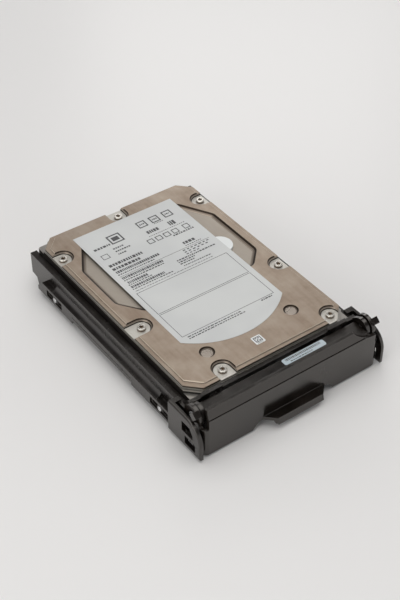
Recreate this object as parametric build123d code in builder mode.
from build123d import *
from math import atan2, cos, degrees, radians, sin
import os

# Server hard drive caddy: a plastic carrier with a swing handle, and the 3.5 inch drive it holds.
#
# Millimetres. X runs across the caddy, Y from the handle end to the connector end, Z up.
# The origin is the middle of the front wall's underside, in the plane that the caddy rests on.

# Drive: the standard 3.5 inch body and its mounting holes
drive_width = 101.6
drive_length = 147.0
drive_height = 26.1
drive_lift = 0.5
side_hole_height = 6.35
side_hole_near = 16.9
side_hole_far = 28.5
side_hole_middle = 41.6
side_hole_depth = 4.5
bottom_hole_inset = 3.18
bottom_hole_first = 41.28
bottom_hole_pitch = 44.45
bottom_hole_depth = 4.0
mount_hole_radius = 1.6

# Drive base
ledge_height = 21.6
ledge_corner = 1.0
base_corner = 6.6
basin_floor = 8.0
chamber_half_width = 37.0
chamber_far = 122.0

# Cover, gasket and cover screws
cover_thick = 2.6
cover_inset = 0.5
cover_corner = 7.4
cover_edge = 0.4
cover_flange = 2.0
cover_step = 0.7
pan_depth = 1.3
pan_side_inset = 6.4
pan_far_inset = 16.0
pan_shoulder = 37.0
pan_taper = 62.0
pan_round = 5.0
pan_far_left_across = 32.0
pan_far_right_across = 32.5
pan_near_across = 34.5
pan_left_bend = 77.0
pan_left_near = 63.0
pan_right_bend = 70.0
pan_right_near = 59.8
pocket_depth = 2.0
pocket_radius = 6.0
pocket_taper = 35.0
gasket_thick = 0.4
gasket_inset = 1.2
screw_side = 4.4
screw_far_side = 20.5
screw_far = 5.8
screw_far_across = 0.9
screw_left_side = 8.0
screw_left_middle = 54.9
screw_right_middle = 53.7
screw_right_near_side = 8.5
screw_right_near = 5.7
screw_left_near_across = 27.5
screw_left_near = 5.8
screw_head_radius = 2.4
screw_head_height = 1.4
screw_shank_radius = 1.2
screw_shank_length = 5.0
screw_clear = 0.4
socket_radius = 1.3
socket_depth = 1.0
plug_left_across = 27.0
plug_right_across = 27.2
plug_near = 19.4
plug_radius = 3.1
plug_seat_radius = 2.4
plug_thick = 0.6
plug_recess = 0.8
plug_play = 0.1
plug_rim = 0.9

# Labels
label_thick = 0.12
label_half_width = 33.0
label_aside = -1.0
label_near = 32.5
label_tip = 19.2
label_far_gap = 10.4
seal_radius = 7.3
seal_spot = (30.0, 85.1)
code_size = 5.8
code_spot = (-0.7, 11.5)

# Discs, spindle and actuator
disc_radius = 35.0
disc_thick = 0.8
disc_pitch = 2.6
disc_count = 4
disc_bore = 12.5
disc_play = 3.0
spindle_offset = 48.0
spacer_width = 2.4
flange_thick = 1.5
clamp_thick = 1.2
motor_radius = 13.5
motor_height = 2.0
motor_rise = 0.6
shaft_radius = 3.0
running_gap = 0.3
turning_play = 0.05
fixed_play = 0.05
pivot_across = 16.0
pivot_along = 92.0
pivot_radius = 2.5
block_radius = 6.5
arm_length = 36.0
arm_thick = 0.8
arm_root_width = 9.0
arm_tip_width = 2.4
arm_rest_angle = 32.0
coil_reach = 21.0
coil_spread = 15.0
coil_thick = 2.6
magnet_inner = 11.0
magnet_reach = 24.0
magnet_spread = 34.0
magnet_leg = 4.5
magnet_thick = 2.4
magnet_gap = 0.6

# Circuit board and connector
board_screw_side = 4.0
board_screw_near = 66.0
board_screw_middle = 104.0
board_screw_far = 7.0
board_thick = 1.6
board_side = 6.8
board_near = 62.0
board_end_gap = 0.8
board_sink = 0.4
board_screw_head = 0.35
board_screw_radius = 2.2
board_screw_length = 4.0
connector_centre = -20.0
connector_half_width = 21.0
connector_depth = 9.0
connector_height = 5.4
connector_wall = 1.1
tongue_thick = 1.3
tongue_reach = 5.6
tongue_inset = 3.0

# Caddy frame: walls and guide rails
side_gap = 0.25
end_gap = 0.3
front_wall = 2.3
front_wall_top = 23.8
wall_depth = 4.0
wall_clear = 1.2
skin = 1.6
web = 1.5
wall_top = 19.7
wall_over = 1.35
nose_height = 6.2
nose_depth = 5.0
nose_slope = 0.6
rib_thick = 1.4
rib_pitch = 16.0
rail_proud = 3.5
rail_near = 6.5
rail_end_gap = 12.2
rail_bottom = 3.7
rail_raised = 5.3
rail_near_foot = 37.1
rail_far_foot = 36.4
rail_top = 11.3
rail_taper = 5.0
rail_cove = 3.0
cove_radius = 6.0
rail_face = 1.5
groove_height = 8.0
groove_width = 0.4
groove_depth = 0.25
ledge_length = 15.6
near_ledge_length = 14.5
hollow_count = 4
window_length = 15.8
window_height = 4.3
window_lift = 0.5
boss_radius = 3.4
vent_count = 7
vent_pitch = 13.0
vent_width = 9.0
vent_height = 10.0
vent_round = 1.0
clip_across = 40.0
clip_width = 12.4
clip_height = 3.4
clip_rise = 2.0
clip_flare_angle = 48.0
clip_proud = 0.9
clip_back = 1.3
clip_eye = 4.4
clip_eye_height = 2.2

# Locating pins and the clips that carry them
pin_radius = 1.5
pin_play = 0.05
pin_reach = 4.0
pin_head_radius = 1.55
pin_head_height = 0.6
clip_bar_thick = 2.8
clip_play = 0.15
clip_slot_pitch = 9.0
clip_slot_length = 4.6
clip_slot_width = 2.1

# Cheeks and ears at the front; window points run back from the cheek's rear and up from its bottom
cheek_thick = 2.2
cheek_proud = 4.5
cheek_front = -17.9
cheek_rear = 8.8
cheek_bottom = 1.4
cheek_top = 21.4
cheek_corner = 11.5
cheek_toe = 3.0
cheek_edge = 1.0
web_depth = 3.0
upper_window = [(11.6, 9.7), (20.6, 9.7), (20.6, 12.2), (18.2, 15.9), (11.6, 15.9)]
lower_window_back = 18.35
lower_window_up = 5.0
lower_window_length = 8.6
lower_window_height = 5.2
ear_thick = 2.2
ear_radius = 5.6
ear_rear = 8.0
ear_foot = 4.0

# Handle
hinge_y = -6.6
hinge_z = 21.5
hub_radius = 6.4
hub_recess = 1.0
hub_recess_radius = 3.3
hinge_pin_radius = 1.5
hinge_pin_play = 0.05
hinge_head_radius = 2.5
hinge_head_height = 0.9
panel_front = -16.55
panel_thick = 2.2
panel_bottom = 1.0
panel_round = 3.4
crease_height = 23.8
crease_step = 0.35
crease_groove = 0.4
strip_top = 29.9
strip_lean = 1.4
notch_width = 2.9
notch_height = 18.0
scoop_radius = 18.1
scoop_height = 41.0
shelf_height = 23.3
shelf_thick = 1.5
shelf_rear = -2.9
shelf_gap = 0.5
stiffener_pitch = 16.0
stiffener_count = 6
stiffener_depth = 3.0
stiffener_drop = 14.0
arm_width = 2.0
arm_gap = 0.75
arm_edge = 1.5
arm_knee = 1.1
arm_foot = 7.0
arm_toe = 0.9
lug_back = 4.0
lug_up = 4.2
lug_size = 3.8
lug_angle = 40.0
lug_proud = 2.6
tab_root = 20.0
tab_tip = 14.6
tab_height = 7.1
tab_reach = 5.4
tab_drop = 3.7
tab_lean = 0.8
tab_thick = 1.8
tab_lip = 1.5
gap_root = 22.4
gap_mouth = 26.0
gap_top = 5.2
strip_label_across = 14.5
strip_label_length = 27.0
strip_label_width = 4.2
strip_label_inset = 0.4

# Places worked out from the sizes above
half = drive_width / 2
drive_front = front_wall / 2 + end_gap
drive_middle = drive_front + drive_length / 2
drive_back = drive_front + drive_length
drive_top = drive_lift + drive_height
base_top = drive_top - cover_thick - gasket_thick
basin_z = drive_lift + basin_floor
pin_rows = [drive_front + side_hole_near, drive_back - side_hole_far]
side_rows = [*pin_rows, drive_back - side_hole_far - side_hole_middle]
pin_height = drive_lift + side_hole_height
wall_inner = half + side_gap
wall_outer = wall_inner + wall_depth
rail_outer = wall_outer + rail_proud
cheek_outer = wall_outer + cheek_proud
cheek_inner = cheek_outer - cheek_thick
ear_outer = wall_inner + ear_thick
wall_near = hinge_y + hub_radius + wall_clear
wall_end = drive_back + wall_over
rail_far = wall_end - rail_end_gap
rail_raised_near = rail_near + rail_near_foot
rail_raised_far = rail_far - rail_far_foot
ledge_near = rail_far - ledge_length
ledge_far = rail_near + near_ledge_length
panel_half_width = ear_outer + arm_gap + arm_width
notch_across = panel_half_width - notch_width
spindle_y = drive_front + spindle_offset
pivot_y = drive_front + pivot_along
panel_back = panel_front + panel_thick
board_top = drive_lift + board_sink + board_thick
board_far = drive_back - board_end_gap
board_near_y = drive_front + board_near
board_half_width = half - board_side
flange_z = basin_z + motor_height + running_gap
disc_z = flange_z + flange_thick
stack_height = (disc_count - 1) * disc_pitch + disc_thick

# Each cover screw: its distance across, its distance from the handle end, and the way its pocket opens
screw_spots = [
    (-screw_far_across, drive_length - screw_far, (0, 1)),
    (half - screw_side, drive_length - screw_far_side, (1, 0)),
    (half - screw_side, screw_right_middle, (1, 0)),
    (half - screw_right_near_side, screw_right_near, (0, -1)),
    (-screw_left_near_across, screw_left_near, (0, -1)),
    (screw_left_side - half, screw_left_middle, (-1, 0)),
    (screw_side - half, drive_length - screw_far_side, (-1, 0)),
]
plug_spots = [(-plug_left_across, plug_near), (plug_right_across, plug_near)]
board_side_line = board_half_width - board_screw_side
board_screw_spots = [
    (-board_side_line, board_screw_near), (board_side_line, board_screw_near),
    (-board_side_line, board_screw_middle), (board_side_line, board_screw_middle),
    (board_side_line, drive_length - board_screw_far)]

# The pan's corners, from the drive's far left round to its far right
pan_side = half - pan_side_inset
pan_far = drive_length - pan_far_inset
pan_far_side = drive_length - pan_shoulder
pan_outline = [
    (-pan_far_left_across, pan_far), (-pan_side, pan_far_side),
    (-pan_side, pan_left_bend), (-pan_near_across, pan_left_near),
    (pan_near_across, pan_right_near), (pan_side, pan_right_bend),
    (pan_side, pan_far_side), (pan_far_right_across, pan_far),
]


def on_drive(spots, height):
    """Places on the drive, from distances across and from its handle end."""
    return Locations(*[(spot[0], drive_front + spot[1], height) for spot in spots])


def upright(y):
    """A plane across the caddy at this Y, facing the handle end, with sketch axes X and Z."""
    return Plane.XZ.offset(-y)


def side_planes(x, rows, height):
    """Planes that face outwards on both sides of the caddy, one pair for each row."""
    right = [Plane((x, y, height), x_dir=(0, 1, 0), z_dir=(1, 0, 0)) for y in rows]
    left = [Plane((-x, y, height), x_dir=(0, -1, 0), z_dir=(-1, 0, 0)) for y in rows]
    return Locations(*right, *left)


def basin(grow=0.0):
    """Outline of the drive's inner space: a round disc bay that opens into the actuator bay."""
    bay_near = spindle_y + disc_radius / 2
    bay_far = drive_front + chamber_far + grow
    with BuildSketch(mode=Mode.PRIVATE) as outline:
        with Locations((0, spindle_y)):
            Circle(disc_radius + disc_play + grow)
        with Locations((0, (bay_near + bay_far) / 2)):
            Rectangle(2 * (chamber_half_width + grow), bay_far - bay_near)
    return outline.sketch


def drive_outline(inset, corner):
    """The drive's outline with cut corners, drawn in by the inset."""
    with BuildSketch(mode=Mode.PRIVATE) as outline:
        with Locations((0, drive_middle)):
            Rectangle(drive_width - 2 * inset, drive_length - 2 * inset)
        chamfer(outline.vertices(), corner)
    return outline.sketch


def sector(inner, outer, start, sweep):
    """A ring sector about the actuator's pivot."""
    with BuildSketch(mode=Mode.PRIVATE) as outline:
        with BuildLine():
            low = CenterArc((pivot_across, pivot_y), inner, start, sweep)
            high = CenterArc((pivot_across, pivot_y), outer, start, sweep)
            Line(low @ 0, high @ 0)
            Line(low @ 1, high @ 1)
        make_face()
    return outline.sketch


def finish(part, name):
    """Name a finished piece and write it."""
    part.part.label = name
    os.makedirs("parts", exist_ok=True)
    export_step(part.part, f"parts/{name}.step")


# Drive base: a cast tub with cut corners at its rim and square ledges below them
with BuildPart() as drive_base:
    with BuildSketch(Plane.XY.offset(drive_lift)):
        add(drive_outline(0, ledge_corner))
    extrude(amount=ledge_height)
    with BuildSketch(Plane.XY.offset(drive_lift + ledge_height)):
        add(drive_outline(0, base_corner))
    extrude(amount=base_top - drive_lift - ledge_height)
    with BuildSketch(Plane.XY.offset(base_top)):
        add(basin())
    extrude(amount=basin_z - base_top, mode=Mode.SUBTRACT)
    with BuildSketch(Plane.XY.offset(drive_lift)):
        with Locations((0, (board_near_y + drive_back) / 2)):
            Rectangle(2 * (board_half_width + running_gap), drive_back - board_near_y + 2 * running_gap)
    extrude(amount=board_top - drive_lift, mode=Mode.SUBTRACT)
    with BuildSketch(Plane.XY.offset(board_top)):
        with Locations((connector_centre, drive_back - connector_depth / 2)):
            Rectangle(2 * connector_half_width + running_gap, connector_depth + running_gap)
    extrude(amount=connector_height + running_gap / 2, mode=Mode.SUBTRACT)
    with Locations((0, spindle_y, basin_z)):
        Hole(motor_radius + fixed_play)
    with on_drive(screw_spots, base_top):
        Hole(screw_shank_radius + fixed_play, screw_shank_length)
    with Locations(*[Plane((x, drive_front + y, board_top), z_dir=(0, 0, -1)) for x, y in board_screw_spots]):
        Hole(screw_shank_radius + fixed_play, board_screw_length)
    with side_planes(half, side_rows, pin_height):
        Hole(mount_hole_radius, side_hole_depth)
    bottom_rows = [drive_back - bottom_hole_first, drive_back - bottom_hole_first - bottom_hole_pitch]
    bottom_across = half - bottom_hole_inset
    bottom_spots = [(x, y) for x in (-bottom_across, bottom_across) for y in bottom_rows]
    with Locations(*[Plane((x, y, drive_lift), z_dir=(0, 0, -1)) for x, y in bottom_spots]):
        Hole(mount_hole_radius, bottom_hole_depth)
finish(drive_base, "drive_base")

# Gasket between the base and the cover
with BuildPart() as cover_gasket:
    with BuildSketch(Plane.XY.offset(base_top)):
        add(drive_outline(gasket_inset, cover_corner))
        add(basin(gasket_inset), mode=Mode.SUBTRACT)
        with on_drive(screw_spots, 0):
            Circle(screw_shank_radius + screw_clear, mode=Mode.SUBTRACT)
    extrude(amount=gasket_thick)
finish(cover_gasket, "cover_gasket")

# Cover: a pressed plate with a shallow pan and a pocket for each screw, open at the edge
with BuildPart() as drive_cover:
    with BuildSketch(Plane.XY.offset(drive_top)):
        add(drive_outline(cover_inset, cover_corner))
    extrude(amount=-cover_thick)
    # Narrow flange round the edge, a step lower
    with BuildSketch(Plane.XY.offset(drive_top)):
        add(drive_outline(cover_inset, cover_corner))
        add(drive_outline(cover_inset + cover_flange, cover_corner), mode=Mode.SUBTRACT)
    extrude(amount=-cover_step, mode=Mode.SUBTRACT)
    chamfer(drive_cover.faces().sort_by(Axis.Z)[-1].edges(), cover_edge)
    with BuildSketch(Plane.XY.offset(drive_top)) as pan:
        with BuildLine():
            Polyline(*[(x, drive_front + y) for x, y in pan_outline], close=True)
        make_face()
        fillet(pan.vertices(), pan_round)
    extrude(amount=-pan_depth, taper=pan_taper, mode=Mode.SUBTRACT)
    with BuildSketch(Plane.XY.offset(drive_top)):
        with on_drive(screw_spots, 0):
            Circle(pocket_radius)
        for x, y, way in screw_spots:
            run = (way[0] * pocket_radius, way[1] * pocket_radius)
            with on_drive([(x + run[0], y + run[1])], 0):
                Rectangle(2 * pocket_radius, 2 * pocket_radius)
    extrude(amount=-pocket_depth, taper=pocket_taper, mode=Mode.SUBTRACT)
    with on_drive(plug_spots, drive_top):
        CounterBoreHole(plug_seat_radius, plug_radius + plug_play, plug_thick + plug_recess, cover_thick)
        Cone(
            plug_radius + plug_play, plug_radius + plug_play + plug_rim, plug_recess,
            align=(Align.CENTER, Align.CENTER, Align.MAX), mode=Mode.SUBTRACT)
    with on_drive(screw_spots, drive_top):
        Hole(screw_shank_radius + fixed_play)
finish(drive_cover, "drive_cover")

# Cover screws: pan heads with a drive socket
with BuildPart() as cover_screws:
    seat = drive_top - pocket_depth
    with on_drive(screw_spots, seat):
        Cylinder(screw_head_radius, screw_head_height, align=(Align.CENTER, Align.CENTER, Align.MIN))
    rims = cover_screws.edges().filter_by(GeomType.CIRCLE).group_by(Axis.Z)[-1]
    fillet(rims, screw_head_height / 3)
    with on_drive(screw_spots, seat):
        Cylinder(screw_shank_radius, screw_shank_length, align=(Align.CENTER, Align.CENTER, Align.MAX))
    with BuildSketch(Plane.XY.offset(seat + screw_head_height)):
        with on_drive(screw_spots, 0):
            RegularPolygon(socket_radius, 6)
    extrude(amount=-socket_depth, mode=Mode.SUBTRACT)
finish(cover_screws, "cover_screws")

# Plugs that close the two service holes near the handle end
for side, spot in zip(("left", "right"), plug_spots):
    with BuildPart() as cover_plug:
        with on_drive([spot], drive_top - plug_recess):
            Cylinder(plug_radius, plug_thick, align=(Align.CENTER, Align.CENTER, Align.MAX))
        fillet(cover_plug.edges().group_by(Axis.Z)[-1], plug_thick / 3)
    finish(cover_plug, f"{side}_cover_plug")

# Drive label with its round end towards the handle
with BuildPart() as drive_label:
    with BuildSketch(Plane.XY.offset(drive_top)):
        far = drive_back - label_far_gap
        near = drive_front + label_near
        left = label_aside - label_half_width
        right = label_aside + label_half_width
        with BuildLine():
            Polyline((left, near), (left, far), (right, far), (right, near))
            ThreePointArc((right, near), (label_aside, drive_front + label_tip), (left, near))
        make_face()
    extrude(amount=label_thick)
finish(drive_label, "drive_label")

# Round seal on the pan's floor, partly under the label
with BuildPart() as seal_disc:
    with BuildSketch(Plane.XY.offset(drive_top - pan_depth)):
        with on_drive([seal_spot], 0):
            Circle(seal_radius)
    extrude(amount=pan_depth)
finish(seal_disc, "seal_disc")

# Small square code label near the handle
with BuildPart() as code_sticker:
    with BuildSketch(Plane.XY.offset(drive_top)):
        with on_drive([code_spot], 0):
            RectangleRounded(code_size, code_size, code_size / 8)
    extrude(amount=label_thick)
finish(code_sticker, "code_sticker")

# Circuit board, face inwards against the base
with BuildPart() as circuit_board:
    with BuildSketch(Plane.XY.offset(board_top)):
        with Locations((0, (board_near_y + board_far) / 2)):
            Rectangle(2 * board_half_width, board_far - board_near_y)
        with on_drive(board_screw_spots, 0):
            Circle(screw_shank_radius + screw_clear, mode=Mode.SUBTRACT)
    extrude(amount=-board_thick)
finish(circuit_board, "circuit_board")

with BuildPart() as board_screws:
    board_face = board_top - board_thick
    with on_drive(board_screw_spots, board_face):
        Cylinder(board_screw_radius, board_screw_head, align=(Align.CENTER, Align.CENTER, Align.MAX))
        Cylinder(screw_shank_radius, board_screw_length, align=(Align.CENTER, Align.CENTER, Align.MIN))
finish(board_screws, "board_screws")

# Data and power connector: a shell round a tongue, on the board's far edge
with BuildPart() as drive_connector:
    with BuildSketch(upright(drive_back)):
        with Locations((connector_centre, board_top + connector_height / 2)):
            Rectangle(2 * connector_half_width, connector_height)
    extrude(amount=connector_depth)
    with BuildSketch(upright(drive_back)):
        with Locations((connector_centre, board_top + connector_height / 2)):
            Rectangle(2 * (connector_half_width - connector_wall), connector_height - 2 * connector_wall)
            Rectangle(2 * (connector_half_width - tongue_inset), tongue_thick, mode=Mode.SUBTRACT)
    extrude(amount=tongue_reach, mode=Mode.SUBTRACT)
finish(drive_connector, "drive_connector")

# Spindle: a motor in the floor, its shaft, and the hub that carries the discs
with BuildPart() as spindle_motor:
    with BuildSketch(Plane.XY.offset(drive_lift + motor_rise)):
        with Locations((0, spindle_y)):
            Circle(motor_radius)
    extrude(amount=basin_z + motor_height - drive_lift - motor_rise)
    with BuildSketch(Plane.XY.offset(basin_z + motor_height)):
        with Locations((0, spindle_y)):
            Circle(shaft_radius)
    extrude(amount=flange_thick + stack_height)
finish(spindle_motor, "spindle_motor")

with BuildPart() as spindle_hub:
    with BuildSketch(Plane.XY.offset(flange_z)):
        with Locations((0, spindle_y)):
            Circle(disc_bore + spacer_width)
    extrude(amount=flange_thick)
    with BuildSketch(Plane.XY.offset(disc_z)):
        with Locations((0, spindle_y)):
            Circle(disc_bore)
    extrude(amount=stack_height)
    with Locations((0, spindle_y, flange_z)):
        Hole(shaft_radius + turning_play)
finish(spindle_hub, "spindle_hub")

with BuildPart() as discs:
    for step in range(disc_count):
        with BuildSketch(Plane.XY.offset(disc_z + step * disc_pitch)):
            with Locations((0, spindle_y)):
                Circle(disc_radius)
                Circle(disc_bore + fixed_play, mode=Mode.SUBTRACT)
        extrude(amount=disc_thick)
finish(discs, "discs")

with BuildPart() as disc_spacers:
    for step in range(disc_count - 1):
        with BuildSketch(Plane.XY.offset(disc_z + step * disc_pitch + disc_thick)):
            with Locations((0, spindle_y)):
                Circle(disc_bore + spacer_width)
                Circle(disc_bore + fixed_play, mode=Mode.SUBTRACT)
        extrude(amount=disc_pitch - disc_thick)
finish(disc_spacers, "disc_spacers")

with BuildPart() as disc_clamp:
    with BuildSketch(Plane.XY.offset(disc_z + stack_height)):
        with Locations((0, spindle_y)):
            Circle(disc_bore + spacer_width)
            Circle(shaft_radius + running_gap, mode=Mode.SUBTRACT)
    extrude(amount=clamp_thick)
finish(disc_clamp, "disc_clamp")

# Actuator: a block on a fixed post, arms between the discs, and a coil between magnets
arm_angle = degrees(atan2(spindle_y - pivot_y, -pivot_across)) + arm_rest_angle
coil_angle = arm_angle + 180
coil_z = basin_z + magnet_thick + magnet_gap
arm_levels = [disc_z + disc_thick / 2 - disc_pitch / 2 + step * disc_pitch for step in range(disc_count + 1)]

with BuildPart() as actuator_post:
    with BuildSketch(Plane.XY.offset(basin_z)):
        with Locations((pivot_across, pivot_y)):
            Circle(pivot_radius)
    extrude(amount=arm_levels[-1] + disc_pitch / 2 - basin_z)
finish(actuator_post, "actuator_post")

with BuildPart() as actuator_arm:
    with BuildSketch(Plane.XY.offset(basin_z + running_gap)):
        with Locations((pivot_across, pivot_y)):
            Circle(block_radius)
    extrude(amount=arm_levels[-1] + arm_thick / 2 - basin_z - running_gap)
    for level in arm_levels:
        with BuildSketch(Plane((pivot_across, pivot_y, level - arm_thick / 2), x_dir=(
                cos(radians(arm_angle)), sin(radians(arm_angle)), 0))):
            with BuildLine():
                Polyline(
                    (0, -arm_root_width / 2), (arm_length, -arm_tip_width / 2),
                    (arm_length, arm_tip_width / 2), (0, arm_root_width / 2), close=True)
            make_face()
        extrude(amount=arm_thick)
    with BuildSketch(Plane.XY.offset(coil_z)):
        add(sector(pivot_radius + fixed_play, coil_reach, coil_angle - coil_spread, 2 * coil_spread))
    extrude(amount=coil_thick)
    with Locations((pivot_across, pivot_y, basin_z)):
        Hole(pivot_radius + turning_play)
finish(actuator_arm, "actuator_arm")

with BuildPart() as lower_magnet:
    with BuildSketch(Plane.XY.offset(basin_z)):
        add(sector(magnet_inner, magnet_reach, coil_angle - magnet_spread, 2 * magnet_spread))
    extrude(amount=magnet_thick)
finish(lower_magnet, "lower_magnet")

with BuildPart() as upper_magnet:
    upper_z = coil_z + coil_thick + magnet_gap
    with BuildSketch(Plane.XY.offset(upper_z)):
        add(sector(magnet_inner, magnet_reach, coil_angle - magnet_spread, 2 * magnet_spread))
    extrude(amount=magnet_thick)
    with BuildSketch(Plane.XY.offset(basin_z + magnet_thick)):
        add(sector(magnet_inner, magnet_reach, coil_angle - magnet_spread, magnet_leg))
        add(sector(magnet_inner, magnet_reach, coil_angle + magnet_spread - magnet_leg, magnet_leg))
    extrude(amount=upper_z - basin_z - magnet_thick)
finish(upper_magnet, "upper_magnet")

# Caddy frame: two channel walls with guide rails, cheeks and hinge ears, joined by the front wall
with BuildPart() as caddy_frame:
    # Cheek plate, with its two latch windows
    with BuildSketch(Plane.YZ.offset(cheek_inner)) as cheek:
        with Locations(((cheek_front + cheek_rear) / 2, (cheek_bottom + cheek_top) / 2)):
            Rectangle(cheek_rear - cheek_front, cheek_top - cheek_bottom)
        front_corners = cheek.vertices().group_by(Axis.X)[0].sort_by(Axis.Y)
        fillet(front_corners[-1], cheek_corner)
        fillet(front_corners[0], cheek_toe)
        with BuildLine():
            Polyline(*[(cheek_rear - y, cheek_bottom + z) for y, z in upper_window], close=True)
        make_face(mode=Mode.SUBTRACT)
        with Locations((cheek_rear - lower_window_back, cheek_bottom + lower_window_up)):
            Rectangle(lower_window_length, lower_window_height, mode=Mode.SUBTRACT)
    extrude(amount=cheek_thick)
    rounded = caddy_frame.faces().sort_by(Axis.X)[-1].outer_wire().edges()
    fillet(rounded.sort_by(Axis.Y)[:-1], cheek_edge)
    with BuildSketch(upright(wall_end)):
        with BuildLine():
            Polyline(
                (wall_inner, 0), (wall_outer, 0), (wall_outer, wall_top), (wall_inner, wall_top),
                (wall_inner, wall_top - web), (wall_outer - skin, wall_top - web),
                (wall_outer - skin, web), (wall_inner, web), close=True)
        make_face()
    extrude(amount=wall_end - wall_near)
    # Ribs across the channel
    ribs = int((wall_end - wall_near) / rib_pitch)
    with Locations(((wall_inner + wall_outer) / 2, (wall_near + wall_end) / 2, wall_top / 2)):
        with GridLocations(0, rib_pitch, 1, ribs):
            Box(wall_depth, rib_thick, wall_top)
    # Far end, undercut below its nose
    with BuildSketch(Plane.YZ.offset(wall_inner)):
        with BuildLine():
            Polyline(
                (wall_end, -web), (wall_end, nose_height), (wall_end - nose_depth, nose_height - nose_slope),
                (rail_far + nose_depth, -web), close=True)
        make_face()
    extrude(amount=wall_depth, mode=Mode.SUBTRACT)
    # Guide rail on the outside, raised between its two feet
    with BuildSketch(Plane.YZ.offset(wall_outer)):
        with BuildLine():
            Polyline(
                (rail_near, rail_bottom), (rail_raised_near, rail_bottom), (rail_raised_near, rail_raised),
                (rail_raised_far, rail_raised), (rail_raised_far, rail_bottom), (rail_far, rail_bottom),
                (rail_far, rail_top - rail_taper), (rail_far - rail_taper, rail_top),
                (rail_near, rail_top), close=True)
        make_face()
    extrude(amount=rail_proud)
    # Fine groove along the rail's face
    with BuildSketch(Plane.YZ.offset(rail_outer)):
        with Locations(((rail_raised_near + rail_raised_far) / 2, groove_height)):
            Rectangle(rail_raised_far - rail_raised_near, groove_width)
    extrude(amount=-groove_depth, mode=Mode.SUBTRACT)
    # Cove between the rail's top and the wall, short of the ledges over the pins
    with BuildSketch(upright(ledge_near)):
        with BuildLine():
            Polyline((wall_outer, rail_top + rail_cove), (wall_outer, rail_top), (rail_outer, rail_top))
            RadiusArc((rail_outer, rail_top), (wall_outer, rail_top + rail_cove), cove_radius)
        make_face()
    extrude(amount=ledge_near - ledge_far)
    # Hollows under the rail
    hollow = rail_raised_far - rail_raised_near
    with BuildSketch(Plane.XY.offset(rail_raised)):
        with Locations((wall_outer + (rail_proud - rail_face) / 2, (rail_raised_near + rail_raised_far) / 2)):
            with GridLocations(0, hollow / hollow_count, 1, hollow_count):
                Rectangle(rail_proud - rail_face, hollow / hollow_count - rib_thick)
    extrude(amount=rail_top - rail_raised - rail_face, mode=Mode.SUBTRACT)
    # Bosses and windows for the locating pins
    right_pins = [Plane((wall_inner, y, pin_height), x_dir=(0, 1, 0), z_dir=(1, 0, 0)) for y in pin_rows]
    with Locations(*right_pins):
        Cylinder(boss_radius, wall_depth, align=(Align.CENTER, Align.CENTER, Align.MIN))
    with BuildSketch(Plane.YZ.offset(wall_outer)):
        with Locations(*[(y, pin_height + window_lift) for y in pin_rows]):
            Rectangle(window_length, window_height)
    extrude(amount=rail_proud, mode=Mode.SUBTRACT)
    with Locations(*right_pins):
        Cylinder(
            pin_radius + pin_play, wall_depth,
            align=(Align.CENTER, Align.CENTER, Align.MIN), mode=Mode.SUBTRACT)
    # Web from the wall to the cheek
    with BuildSketch(Plane.YZ.offset(wall_outer - skin)):
        with Locations((cheek_rear - web_depth / 2, (cheek_bottom + cheek_top) / 2)):
            Rectangle(web_depth, cheek_top - cheek_bottom)
    extrude(amount=cheek_inner - wall_outer + skin)
    # Ear that carries the hinge pin
    with BuildSketch(Plane.YZ.offset(wall_inner)):
        with Locations((hinge_y, hinge_z)):
            Circle(ear_radius)
        with Locations((ear_rear, wall_top / 2)):
            Rectangle(2 * ear_rear, wall_top - ear_foot, align=(Align.MAX, Align.CENTER))
        make_hull()
    extrude(amount=ear_thick)
    with Locations(Plane((wall_inner, hinge_y, hinge_z), z_dir=(1, 0, 0))):
        Cylinder(
            hinge_pin_radius + hinge_pin_play, ear_thick,
            align=(Align.CENTER, Align.CENTER, Align.MIN), mode=Mode.SUBTRACT)
    mirror(about=Plane.YZ)
    # Front wall with its row of vents
    with BuildSketch(upright(front_wall / 2)):
        with Locations((0, front_wall_top / 2)):
            Rectangle(2 * ear_outer, front_wall_top)
            with GridLocations(vent_pitch, 0, vent_count, 1):
                RectangleRounded(vent_width, vent_height, vent_round, mode=Mode.SUBTRACT)
    extrude(amount=front_wall)
    # Two flared clips, each with an eye, that stand above the front wall
    with BuildSketch(upright(clip_back - front_wall / 2)):
        for side in (-1, 1):
            with Locations((side * clip_across, front_wall_top + clip_rise - clip_height / 2)):
                Trapezoid(clip_width, clip_height, clip_flare_angle, rotation=180)
                Rectangle(clip_eye, clip_eye_height, mode=Mode.SUBTRACT)
    extrude(amount=clip_back + clip_proud)
finish(caddy_frame, "caddy_frame")

# Clips in the rail windows: a sprung bar each side of the pin's eye
for side, sign in (("left", -1), ("right", 1)):
    for end, row in zip(("near", "far"), pin_rows):
        with BuildPart() as pin_clip:
            with BuildSketch(Plane.YZ.offset(sign * (wall_outer + clip_bar_thick / 2))):
                with Locations((row, pin_height + window_lift)):
                    Rectangle(window_length - 2 * clip_play, window_height - 2 * clip_play)
                    with GridLocations(clip_slot_pitch, 0, 2, 1):
                        SlotOverall(clip_slot_length, clip_slot_width, mode=Mode.SUBTRACT)
                with Locations((row, pin_height)):
                    Circle(pin_radius + pin_play, mode=Mode.SUBTRACT)
            extrude(amount=clip_bar_thick / 2, both=True)
        finish(pin_clip, f"{side}_{end}_pin_clip")

# Locating pins that reach through the wall into the drive's side holes
with BuildPart() as locating_pins:
    with side_planes(half - pin_reach, pin_rows, pin_height):
        Cylinder(
            pin_radius, pin_reach + side_gap + wall_depth + clip_bar_thick,
            align=(Align.CENTER, Align.CENTER, Align.MIN))
    with side_planes(wall_outer + clip_bar_thick, pin_rows, pin_height):
        Cylinder(pin_head_radius, pin_head_height, align=(Align.CENTER, Align.CENTER, Align.MIN))
    outer_rims = locating_pins.edges().filter_by(GeomType.CIRCLE).group_by(Axis.X)
    fillet([*outer_rims[0], *outer_rims[-1]], pin_head_height / 2)
finish(locating_pins, "locating_pins")

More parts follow.
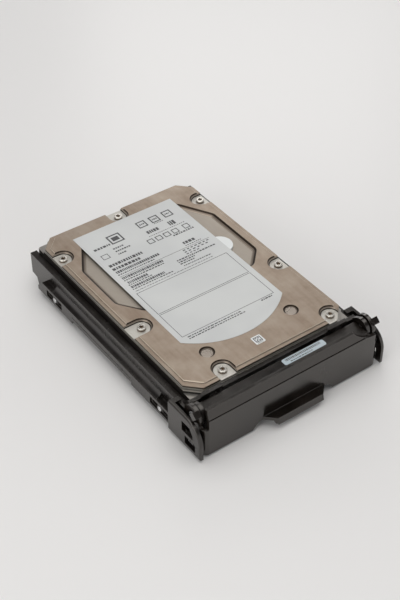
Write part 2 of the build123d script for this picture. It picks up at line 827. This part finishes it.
# Handle: a front panel with a finger tab, side arms on the hinge, and a shelf behind its top
with BuildPart() as handle:
    with BuildSketch(Plane.YZ.offset(-panel_half_width)):
        with BuildLine():
            Polyline(
                (panel_front, panel_bottom), (panel_front, crease_height),
                (panel_front + crease_step + crease_groove, crease_height),
                (panel_front + crease_step + crease_groove, crease_height + crease_groove),
                (panel_front + crease_step, crease_height + crease_groove),
                (panel_front + crease_step + strip_lean, strip_top), (panel_back + strip_lean, strip_top),
                (panel_back, crease_height), (panel_back, panel_bottom), close=True)
        make_face()
    extrude(amount=2 * panel_half_width)
    # Shoulders beside the hinge hubs
    with BuildSketch(upright(panel_back + strip_lean)):
        for side in (-1, 1):
            with Locations((side * panel_half_width, strip_top)):
                Rectangle(2 * (panel_half_width - notch_across), 2 * (strip_top - notch_height))
    extrude(amount=panel_thick + strip_lean, mode=Mode.SUBTRACT)
    # Side arms with round hubs
    for sign in (-1, 1):
        with BuildSketch(Plane.YZ.offset(sign * (panel_half_width - arm_width / 2))):
            with Locations((hinge_y, hinge_z)):
                Circle(hub_radius)
            with BuildLine():
                Polyline(
                    (panel_front + arm_edge, panel_bottom), (panel_front + arm_edge, notch_height),
                    (hinge_y - hub_radius, notch_height), (hinge_y, hinge_z), (hinge_y + hub_radius, hinge_z),
                    (hinge_y + arm_knee, panel_bottom + arm_foot), (hinge_y - arm_toe, panel_bottom),
                    close=True)
            make_face()
        extrude(amount=arm_width / 2, both=True)
    # Rounded corners where the panel turns into the arms
    corners = handle.edges().filter_by(Axis.Z).group_by(Axis.Y)[0]
    fillet([corners.sort_by(Axis.X)[0], corners.sort_by(Axis.X)[-1]], panel_round)
    # Cam lugs on the outside of the hubs
    for sign in (-1, 1):
        with BuildSketch(Plane.YZ.offset(sign * (panel_half_width - arm_width / 2))):
            with Locations((hinge_y - lug_back, hinge_z + lug_up)):
                Rectangle(lug_size, lug_size, rotation=lug_angle)
        extrude(amount=sign * (arm_width / 2 + lug_proud))
    # Scooped end of the top strip
    with BuildSketch(upright(panel_back + strip_lean)):
        with Locations((notch_across, scoop_height)):
            Circle(scoop_radius)
    extrude(amount=panel_thick + strip_lean, mode=Mode.SUBTRACT)
    # Shelf behind the strip, and ribs that stiffen it
    shelf_front = panel_back - panel_thick / 2
    with BuildSketch(Plane.XY.offset(shelf_height)):
        with Locations((0, (shelf_front + shelf_rear) / 2)):
            Rectangle(2 * (wall_inner - shelf_gap), shelf_rear - shelf_front)
    extrude(amount=-shelf_thick)
    with BuildSketch(Plane.XY.offset(shelf_height - shelf_thick)):
        with Locations((0, panel_back)):
            with GridLocations(stiffener_pitch, 0, stiffener_count, 1):
                Rectangle(rib_thick, stiffener_depth, align=(Align.CENTER, Align.MIN))
    extrude(amount=-stiffener_drop)
    # Finger tab: a level ledge with a turned-down lip and tapered ends
    with BuildSketch(Plane.YZ.offset(-tab_root)):
        with BuildLine():
            Polyline(
                (panel_front + panel_thick / 2, tab_height), (panel_front - tab_reach, tab_height),
                (panel_front - tab_reach - tab_lean, tab_height - tab_drop),
                (panel_front - tab_reach - tab_lean + tab_lip, tab_height - tab_drop),
                (panel_front - tab_reach + tab_lip, tab_height - tab_thick),
                (panel_front + panel_thick / 2, tab_height - tab_thick), close=True)
        make_face()
    extrude(amount=2 * tab_root)
    tab_far = panel_front - tab_reach - 2 * tab_lean
    with BuildSketch(Plane.XY):
        for sign in (-1, 1):
            with BuildLine():
                Polyline(
                    (sign * tab_root, panel_front), (sign * tab_tip, panel_front - tab_reach),
                    (sign * tab_tip, tab_far), (sign * tab_root, tab_far), close=True)
            make_face()
    extrude(amount=tab_height, mode=Mode.SUBTRACT)
    # Finger gap in the panel's lower edge
    with BuildSketch(upright(panel_back)):
        with BuildLine():
            Polyline(
                (-gap_mouth, panel_bottom), (-gap_root, gap_top), (gap_root, gap_top),
                (gap_mouth, panel_bottom), close=True)
        make_face()
    extrude(amount=panel_thick, mode=Mode.SUBTRACT)
    # Recess and bore for each hinge pin
    with side_planes(panel_half_width, [hinge_y], hinge_z):
        CounterBoreHole(hinge_pin_radius + hinge_pin_play, hub_recess_radius, hub_recess, arm_width)
finish(handle, "handle")

with BuildPart() as handle_label:
    with BuildSketch(Plane.XY.offset(shelf_height)):
        with Locations((strip_label_across, shelf_rear - strip_label_width / 2 - strip_label_inset)):
            RectangleRounded(strip_label_length, strip_label_width, strip_label_width / 4)
    extrude(amount=label_thick)
finish(handle_label, "handle_label")

# Hinge pins, fixed in the ears, with their heads in the hubs
with BuildPart() as hinge_pins:
    with side_planes(wall_inner, [hinge_y], hinge_z):
        Cylinder(
            hinge_pin_radius, panel_half_width - hub_recess - wall_inner,
            align=(Align.CENTER, Align.CENTER, Align.MIN))
    with side_planes(panel_half_width - hub_recess, [hinge_y], hinge_z):
        Cylinder(hinge_head_radius, hinge_head_height, align=(Align.CENTER, Align.CENTER, Align.MIN))
finish(hinge_pins, "hinge_pins")
